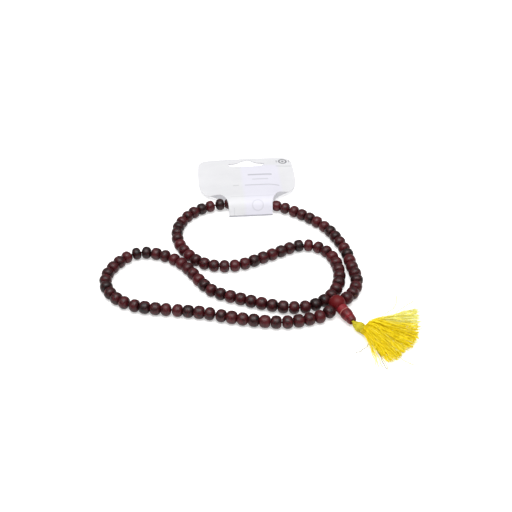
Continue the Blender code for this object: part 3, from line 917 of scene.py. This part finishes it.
def neck_radius(far):
    return float(np.interp(far, NECK_AT, NECK_RADIUS))


def around_neck(far, a, radius):
    return BIND + BIND_AXIS * far + (BIND_SIDE * math.cos(a) + BIND_UP * math.sin(a)) * radius


def build_hank():
    """The folded hank under the winding: threads side by side along the neck."""
    parts = []
    rng = random.Random(5)
    for ring, (count, share) in enumerate(HANK_RINGS):
        for k in range(count):
            start = 2 * math.pi * (k + 0.5 * ring) / count
            twist = rng.uniform(-0.12, 0.12)
            points = [around_neck(far, start + twist * far, (neck_radius(far) - 0.22) * share)
                      for far in np.linspace(-1.3, 7.2, 18)]
            verts, faces, along = sweep(points, [0.26] * len(points), 6, rng.random() * 6)
            tone = 0.32 + 0.5 * rng.random()
            parts.append((verts, faces, thread_attrs(along, k * 0.13, tone)))
    verts, faces, attrs = merge(parts)
    ob = new_object("tassel_neck_hank", verts, faces, OLIVE, 60.0, attrs)
    place_piece(ob, "tassel_binding")


def build_winding():
    """One thread laid round and round the neck, with a short band laid over it."""
    parts = []
    for start, end, lift, turns, seed, tone in WINDINGS:
        points, count = [], turns * STEPS_A_TURN
        for k in range(count + 1):
            t = k / count
            a = 2 * math.pi * turns * t + seed
            far = start + (end - start) * t + 0.10 * drift(t * 9, seed, 0)
            rough = 0.06 * drift(math.cos(a), math.sin(a), t * 14 + seed)
            points.append(around_neck(far, a, neck_radius(far) + lift + rough))
        verts, faces, along = sweep(points, [0.25] * len(points), sides=8)
        parts.append((verts, faces, thread_attrs(along, seed, tone)))
    verts, faces, attrs = merge(parts)
    ob = new_object("tassel_neck_winding", verts, faces, OLIVE, 60.0, attrs)
    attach(ob, NODE_BODY["tassel_binding"])


def thread_path(offset, heading, length, bow, lift, tip_z, seed, wave, flare, steps=22):
    """From inside the neck out through its mouth, over a small shoulder and down to the floor.

    offset is the place in the mouth; bow is how far the thread keeps its first heading, which
    turns from the neck's towards its own by the share flare.
    """
    inside = SKIRT - BIND_AXIS * 3.2 + offset * 0.70
    mouth = SKIRT - BIND_AXIS * 0.8 + offset
    out = Vector((math.cos(heading), math.sin(heading), 0))
    side = Vector((-out.y, out.x, 0))
    first = NECK_HEADING + flare * (heading - NECK_HEADING)
    # a Bezier curve on the floor: start, first control, second control, tip
    tip = (Vector((SKIRT.x, SKIRT.y, 0)) + BIND_SIDE * offset.dot(BIND_SIDE) * 0.8
           + out * length)
    start = Vector((mouth.x, mouth.y, 0))
    control = start + Vector((math.cos(first), math.sin(first), 0)) * bow
    control2 = tip - (tip - control) * 0.42 + side * wave * 0.6 * drift(seed * 2.1, 4.0, 2.0)
    points = [inside, inside.lerp(mouth, 0.5)]
    for k in range(steps + 1):
        t = k / steps
        point = (start * (1 - t) ** 3 + control * (3 * t * (1 - t) ** 2)
                 + control2 * (3 * t * t * (1 - t)) + tip * t ** 3)
        z = (mouth.z * (1 - t) ** 1.7 + tip_z * (1 - (1 - t) ** 1.7)
             + lift * math.sin(math.pi * min(1.0, t ** 0.62)) * (1 - t * 0.35))
        grow = t ** 0.8
        point += side * (wave * grow * drift(t * 3.4, seed * 7.3, 1.0)
                         + wave * 0.33 * grow * drift(t * 11.0, seed * 3.1, 5.0))
        z += wave * 0.5 * grow * drift(t * 5.0, seed * 5.7, 9.0)
        points.append(Vector((point.x, point.y, max(0.19, z))))
    return points


def lock_threads(lock, rng):
    """The threads of one lock: they share its line and wander about it."""
    angle, spread, lock_length, count, tip_low, tip_high, lift, lock_tone, sit = lock
    first_seed = rng.random() * 50
    base_flare = 0.45 if angle < -10 else 0.62 if angle < 10 else 0.95
    parts = []
    for k in range(count):
        high = rng.random()
        heading = angle + spread * rng.uniform(-1, 1) * (1.0 if high < 0.8 else 1.25)
        length = lock_length * (1 + rng.uniform(-0.045, 0.035))
        length *= 0.90 if rng.random() < 0.10 else 1.0
        # where it leaves the neck: across by the lock's side, high threads on top
        across = clamp(sit + rng.uniform(-0.35, 0.35), -1, 1)
        above = (high - 0.5) * 2 * math.sqrt(max(0.0, 1 - across * across))
        offset = BIND_SIDE * (across * 3.2) + BIND_UP * (above * 2.8 + 0.3)
        turn = abs(math.degrees(NECK_HEADING) - heading)
        bow = 5.0 + 0.045 * turn + rng.uniform(-1.5, 1.5)
        seed = first_seed + 0.11 * k
        wave = 1.0 + 1.6 * rng.random()
        # threads lying across the others, some of them short
        if high > 0.5 and rng.random() < 0.42 and angle < 14:
            heading += rng.uniform(-24, 13)
            length *= rng.uniform(0.50, 0.95)
            wave += 1.5
        points = thread_path(offset, math.radians(heading), length, bow,
                             lift=lift * (0.30 + 1.15 * high),
                             tip_z=tip_low + (tip_high - tip_low) * high ** 1.2,
                             seed=seed, wave=wave, flare=base_flare + 0.3 * rng.random())
        radius = rng.uniform(0.155, 0.21)
        radii = [radius] * (len(points) - 1) + [radius * 0.8]
        verts, faces, along = sweep(points, radii, 6, rng.random() * 6)
        total = along[-1][0]
        tone = lock_tone + rng.uniform(-0.16, 0.16)
        # darker over the first 9 mm, a little lighter to the tip
        tones = [(clamp(tone - 0.30 * max(0.0, 1 - s / 9.0) + 0.10 * (s / total) ** 2, 0.10),
                  0, 0) for s, _ in along]
        parts.append((verts, faces, {"along": [(s, a, seed) for s, a in along], "tone": tones}))
    return parts


def stray_threads(rng):
    parts = []
    for x, y, bow, wave, radius, tone in STRAYS:
        heading = math.atan2(y, x)
        across = clamp((heading - NECK_HEADING) / 1.2, -0.9, 0.9)
        offset = BIND_SIDE * (across * 2.3) + BIND_UP * rng.uniform(-1.2, 1.2)
        points = thread_path(offset, heading, math.hypot(x, y), bow, lift=1.0, tip_z=0.2,
                             seed=rng.random() * 90, wave=wave,
                             flare=0.12 if bow > 12 else 0.6, steps=30)
        verts, faces, along = sweep(points, [radius] * len(points), sides=6)
        parts.append((verts, faces, thread_attrs(along, 3.0, tone)))
    return parts


def build_threads():
    """Locks of thread fanned from the neck, in four groups by heading."""
    rng = random.Random(77)
    groups = {"lower": [], "middle": [], "upper": [], "wisps": []}
    for lock in LOCKS:
        angle = lock[0]
        group = ("wisps" if angle > 14 else "upper" if angle > -10
                 else "middle" if angle > -38 else "lower")
        groups[group] += lock_threads(lock, rng)
    groups["wisps"] += stray_threads(rng)
    for group, parts in groups.items():
        verts, faces, attrs = merge(parts)
        ob = new_object(f"tassel_threads_{group}", verts, faces, YELLOW, 70.0,
                        attrs)
        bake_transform(ob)
        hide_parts("tassel_skirt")


build_tassel_cord()
build_hank()
build_winding()
build_threads()


# =============================================================================
# Card: one sheet folded over the strand, slotted through both leaves.
# In its own coordinates u is across, v is up the leaves from the fold, z is above the floor.
# =============================================================================
CARD_THICKNESS = 0.40
FRONT_TOP, BACK_TOP = 75.0, 80.0
CORNER = 8.0
BACK_Z = 0.2
LAG = 5.5               # the front leaf loses this much length going up over the beads
CREASE_V = 12.3
LEAF_PARTING_Z = 0.9    # the front leaf is above this, the back leaf below

# The leaf's half width at heights v
WIDTH_AT = (-2, 0, 4, 8, 12, 16, 19, 22, 24.5, 27, 30, 34, 42, 50, 60, 66)
HALF_WIDTH = (16.3, 16.3, 16.5, 17.3, 18.8, 21.0, 23.6, 27.6, 31.4, 33.9, 35.6, 36.9, 38.0, 38.3,
              38.1, 37.8)
# The front leaf's middle line from its lower end up: (v, z)
FRONT = [
    (0.02, 1.00), (0.14, 1.45), (0.45, 2.2), (0.95, 3.3), (1.60, 4.55), (2.4, 5.95), (3.3, 7.25),
    (4.4, 8.40), (5.6, 9.25), (7.2, 9.85), (9.6, 10.12), (12.0, 10.05), (14.0, 9.72),
    (17.0, 9.25), (20.0, 8.7), (24.0, 7.9), (28.0, 7.2), (34.0, 6.4), (40.0, 5.75), (47.0, 5.1),
    (55.0, 4.5), (61.0, 4.15), (66.0, 3.9), (71.0, 3.75), (75.0, 3.7)]
# The fold's middle line from the back leaf round to the front leaf: (v, z)
FOLD_ROWS = [(1.1, 0.21), (0.8, 0.25), (0.52, 0.34), (0.28, 0.49), (0.12, 0.66), (0.04, 0.84)]
# The slot, a long bar with a rounded crown on its upper side: (u, v)
SLOT = [
    (-8.5, 62.9), (10.0, 62.9), (12.9, 63.7), (14.7, 65.1), (15.3, 66.3), (14.1, 67.1),
    (11.6, 67.5), (8.9, 68.2), (6.8, 69.5), (5.2, 70.9), (3.4, 71.7), (1.2, 72.0), (-1.0, 71.7),
    (-3.0, 70.9), (-4.6, 69.5), (-6.8, 68.2), (-10.0, 67.5), (-12.6, 67.1), (-13.9, 66.3),
    (-13.2, 65.1), (-11.4, 63.7)]
# The cutters: (bottom z, top z, shift up the leaf, extra room below)
SLOT_CUTS = ((1.2, 15.0, 0.0, 0.0), (-3.0, 1.1, LAG, 1.4))

CARD_MAT = card_material()


def pchip(x, xs, ys):
    """A smooth curve through points that doesn't overshoot."""
    xs, ys = np.asarray(xs, float), np.asarray(ys, float)
    steps, rises = np.diff(xs), np.diff(ys) / np.diff(xs)
    slopes = np.zeros(len(xs))
    slopes[0], slopes[-1] = rises[0], rises[-1]
    for k in range(1, len(xs) - 1):
        if rises[k - 1] * rises[k] > 0:
            before, after = 2 * steps[k] + steps[k - 1], steps[k] + 2 * steps[k - 1]
            slopes[k] = (before + after) / (before / rises[k - 1] + after / rises[k])
    k = int(np.clip(np.searchsorted(xs, x) - 1, 0, len(xs) - 2))
    t = clamp((x - xs[k]) / steps[k])
    return float((2 * t ** 3 - 3 * t ** 2 + 1) * ys[k]
                 + (t ** 3 - 2 * t ** 2 + t) * steps[k] * slopes[k]
                 + (-2 * t ** 3 + 3 * t ** 2) * ys[k + 1]
                 + (t ** 3 - t ** 2) * steps[k] * slopes[k + 1])


def ease(x, low, high):
    t = clamp((x - low) / (high - low))
    return t * t * (3 - 2 * t)


def half_width(v):
    width = pchip(min(v, WIDTH_AT[-1]), WIDTH_AT, HALF_WIDTH)
    past = v - (FRONT_TOP - CORNER)
    if past <= 0:
        return width
    return width - CORNER + math.sqrt(max(0.0, CORNER ** 2 - past ** 2))


def back_shift(v):
    """The back leaf has the front's outline, measured along the sheet from the fold."""
    return max(0.0, v - LAG)


def settle(u, v):
    """How far the front leaf's shoulders come down, as a share of their height."""
    side = 0.72 if u < 0 else 0.58
    return (side * ease(abs(u), 15.0, 35.0) * ease(v, 13.5, 24.0)
            * (1 - 0.75 * ease(v, 38.0, 74.0)))


def front_z(v):
    """The front leaf's middle line, with a shallow crease across it."""
    z = pchip(v, *zip(*FRONT))
    return z - 0.16 * math.exp(-((v - CREASE_V) / 0.55) ** 2)


def front_height(u, v, rumple=0.0):
    """The front leaf bows a little, highest at u = 6, and its shoulders settle."""
    rise = clamp((v - 12) / 40) ** 1.4
    z = front_z(max(0.02, v))
    z += (rise * (0.5 * (1 - ((u - 6) / 40) ** 2))
          + rumple * drift(u * 0.05, v * 0.05, 3) * rise)
    return z - settle(u, v) * (z - LEAF_PARTING_Z)


def stations(*parts, digits=3):
    return sorted({round(float(x), digits) for x in np.concatenate(parts)})


def front_rows():
    """(v, z) up the front leaf's middle line, closer together at the fold, crease and top."""
    return [(v, front_z(v)) for v in stations(
        [0.02, 0.06, 0.12, 0.2, 0.3], np.linspace(0.42, 3.0, 14), np.linspace(3.2, 11.4, 16),
        np.linspace(11.6, 13.6, 11), np.linspace(14.2, 34, 26), np.linspace(35, 66, 26),
        np.linspace(66.8, FRONT_TOP, 14), FRONT_TOP - np.array([0.05, 0.2, 0.45, 0.8]))]


def build_sheet(front):
    """The sheet from the back leaf's top, round the fold, to the front leaf's top."""
    back = stations(np.linspace(1.5, 20, 12), np.linspace(21, 34, 14), np.linspace(36, 67, 16),
                    np.linspace(68, BACK_TOP, 12), BACK_TOP - np.array([0.05, 0.2, 0.45]))
    shares = stations(np.linspace(-1, 1, 37), [-0.992, 0.992, -0.975, 0.975], digits=4)
    verts, faces = [], []
    for v in reversed(back):
        verts += [(half_width(back_shift(v)) * share, v, BACK_Z) for share in shares]
    for v, z in FOLD_ROWS:
        verts += [(half_width(0.0) * share, v, z) for share in shares]
    for v, _ in front:
        across = [half_width(v) * share for share in shares]
        verts += [(u, v, front_height(u, v, rumple=0.10)) for u in across]
    count = len(shares)
    for k in range(len(verts) // count - 1):
        for c in range(count - 1):
            faces.append((k * count + c, k * count + c + 1,
                          (k + 1) * count + c + 1, (k + 1) * count + c))
    mesh = bpy.data.meshes.new("card_sheet")
    mesh.from_pydata(verts, [], faces)
    ob = link_object("folded_card", mesh)
    mod = ob.modifiers.new("thickness", "SOLIDIFY")
    mod.thickness, mod.offset, mod.use_even_offset = CARD_THICKNESS, 0.0, True
    return ob


def slot_outline():
    """A spline through the slot's points, three points to each side, drawn partly straight."""
    curve, straight = 0.8, 0.2
    smooth = []
    for k in range(len(SLOT)):
        p0, p1, p2, p3 = (np.array(SLOT[(k + j) % len(SLOT)]) for j in (-1, 0, 1, 2))
        for t in (0.0, 0.34, 0.67):
            smooth.append(0.5 * ((2 * p1) + (p2 - p0) * t * curve
                                 + (2 * p0 - 5 * p1 + 4 * p2 - p3) * curve * t * t
                                 + (3 * p1 - p0 - 3 * p2 + p3) * curve * t ** 3
                                 + straight * (2 * (p2 - p1) * t)))
    return smooth


def slot_cutters():
    """One cutter for the front leaf's slot, one for the back's, further up the sheet."""
    outline, cutters = slot_outline(), []
    count = len(outline)
    for bottom, top, shift, room in SLOT_CUTS:
        ring = [(x * (1 + 0.03 * room), y + shift - room * clamp((66.0 - y) / 2.0))
                for x, y in outline]
        verts = [(x, y, z) for z in (bottom, top) for x, y in ring]
        faces = [tuple(range(count - 1, -1, -1)), tuple(range(count, 2 * count))]
        faces += [(k, (k + 1) % count, count + (k + 1) % count, count + k) for k in range(count)]
        mesh = bpy.data.meshes.new("slot_cutter")
        mesh.from_pydata(verts, [], faces)
        cutters.append(link_object("slot_cutter", mesh))
    return cutters


def card_attributes(mesh, front):
    """The place on the sheet and the tones, as card_material takes them."""
    rows_v, rows_z = np.array(front).T
    arc = np.concatenate([[0.0], np.cumsum(np.hypot(np.diff(rows_v), np.diff(rows_z)))])
    steep = slice(0, 20)        # rows by the fold, where the leaf is told by z rather than v
    card, tone = [], []
    for vert in mesh.vertices:
        u, v, z = vert.co
        on_front = z > LEAF_PARTING_Z
        if v > 3:
            length = float(np.interp(v, rows_v, arc))
            outer = z > front_height(u, v) + 0.02
        else:
            length = float(np.interp(z, rows_z[steep], arc[steep]))
            outer = v < np.interp(z, rows_z[steep], rows_v[steep]) + 0.02
        card.append((u, length, 1.0 if on_front and outer else 0.0))
        half = half_width(v if on_front else back_shift(v))
        top = FRONT_TOP if on_front else BACK_TOP
        # tone: cut edge, back leaf (painted glow that lightens its shade), fold's underside (painted
        # shade)
        tone.append((1.0 if abs(u) > half - 0.12 or v > top - 0.12 else 0.0,
                     0.0 if on_front else 1.0,
                     1.0 if z < 1.3 and v < 1.5 else 0.0))
    return {"card": card, "tone": tone}


def build_card():
    front = front_rows()
    ob = build_sheet(front)
    boolean_cut(ob, slot_cutters())
    mesh = ob.data
    set_attributes(mesh, card_attributes(mesh, front))
    for vert in mesh.vertices:
        u, v, z = vert.co
        vert.co = (CARD_O + ACROSS * u + UPWARD * v + Vector((0, 0, z))) * MM
    mesh.materials.clear()
    mesh.materials.append(CARD_MAT)
    smooth_shade(mesh, 38)
    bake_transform(ob)
    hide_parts("card_back", "card_front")


build_card()


# =============================================================================
# Floor, light, camera. Places in this section are in metres.
# =============================================================================
VIEW_MIDDLE = (GURU - Vector((52.6, -51.8, 5.8))) * MM
FLOOR_HALF = 3000.0                             # mm
LIGHT_FROM = Vector((-0.04, -0.22, 0.88))       # light and camera, from the view's middle
CAMERA_FROM = Vector((0.0, -0.4661, 0.3701))
CAMERA_AIM = Vector((0, 0, 0.004))


def floor_material(low):
    """A pale floor, lit from below as well, so that only close shadows show."""
    m = Nodes(bpy.data.materials.new("pale_floor"))
    place = m.source("ShaderNodeTexCoord", "Object")
    mottle = m.noise(place, scale=9.0)
    colour = m.mix(mottle, (0.90, 0.90, 0.90), (0.93, 0.93, 0.93))
    # painted light: the floor glows brighter to the camera under the card's slot, where the leaves
    # shade it
    slot_light_at = (CARD_O + UPWARD * 74.0) * MM
    away = m.vector("DISTANCE", place, (slot_light_at.x, slot_light_at.y, low * MM), out="Value")
    unseen_glow, seen_glow = 0.12, 0.44         # as light on things, and to the camera
    glow = m.add(seen_glow, m.span(away, source=(0.030, 0.018), target=(0.0, 0.5)))
    to_camera = m.source("ShaderNodeLightPath", "Is Camera Ray")
    strength = m.add(unseen_glow, m.times(to_camera, by=m.minus(glow, unseen_glow)))
    return m.finish(Base_Color=colour, Roughness=0.75, Specular_IOR_Level=0.2,
                    Emission_Color=(1.0, 1.0, 1.0), Emission_Strength=strength)


def build_floor():
    low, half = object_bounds()[0].z / MM, FLOOR_HALF
    mesh = bpy.data.meshes.new("floor")
    corners = ((-half, -half, low), (half, -half, low), (half, half, low), (-half, half, low))
    mesh.from_pydata([tuple(Vector(p) * MM) for p in corners], [], [(0, 1, 2, 3)])
    mesh.materials.append(floor_material(low))
    link_object("floor", mesh)


def build_world():
    """A white tent, bright overhead and darker to the horizon; seen directly it is plain white."""
    scene.world = bpy.data.worlds.new("studio")
    m = Nodes(scene.world)
    height = m.split(m.source("ShaderNodeTexCoord", "Generated"))["Z"]
    tent = m.ramp(height, stops=[(0.0, 0.10), (0.45, 0.20), (0.75, 0.62), (0.95, 1.0)])
    to_camera = m.source("ShaderNodeLightPath", "Is Camera Ray")
    m.finish("Background", Color=m.mix(to_camera, tent, (1.0, 1.0, 1.0)), Strength=1.15)


def aim(ob, place, target):
    ob.location = place
    ob.rotation_mode = "QUATERNION"
    ob.rotation_quaternion = (target - place).to_track_quat("-Z", "Y")


def build_light():
    light = bpy.data.lights.new("overhead_softbox", "AREA")
    light.shape = "RECTANGLE"
    light.size, light.size_y = 0.80, 0.60
    light.energy = 5.9
    ob = link_object("overhead_softbox", light)
    aim(ob, VIEW_MIDDLE + LIGHT_FROM, VIEW_MIDDLE)


def build_camera():
    camera = bpy.data.cameras.new("camera")
    camera.sensor_width, camera.lens = 36.0, 59.77
    camera.clip_start, camera.clip_end = 0.01, 20
    ob = link_object("camera", camera)
    aim(ob, VIEW_MIDDLE + CAMERA_FROM, VIEW_MIDDLE + CAMERA_AIM)
    scene.camera = ob
    scene.view_settings.view_transform = "Standard"
    scene.view_settings.look = "None"
    scene.view_settings.exposure = 0.0


build_floor()
build_world()
build_light()
build_camera()
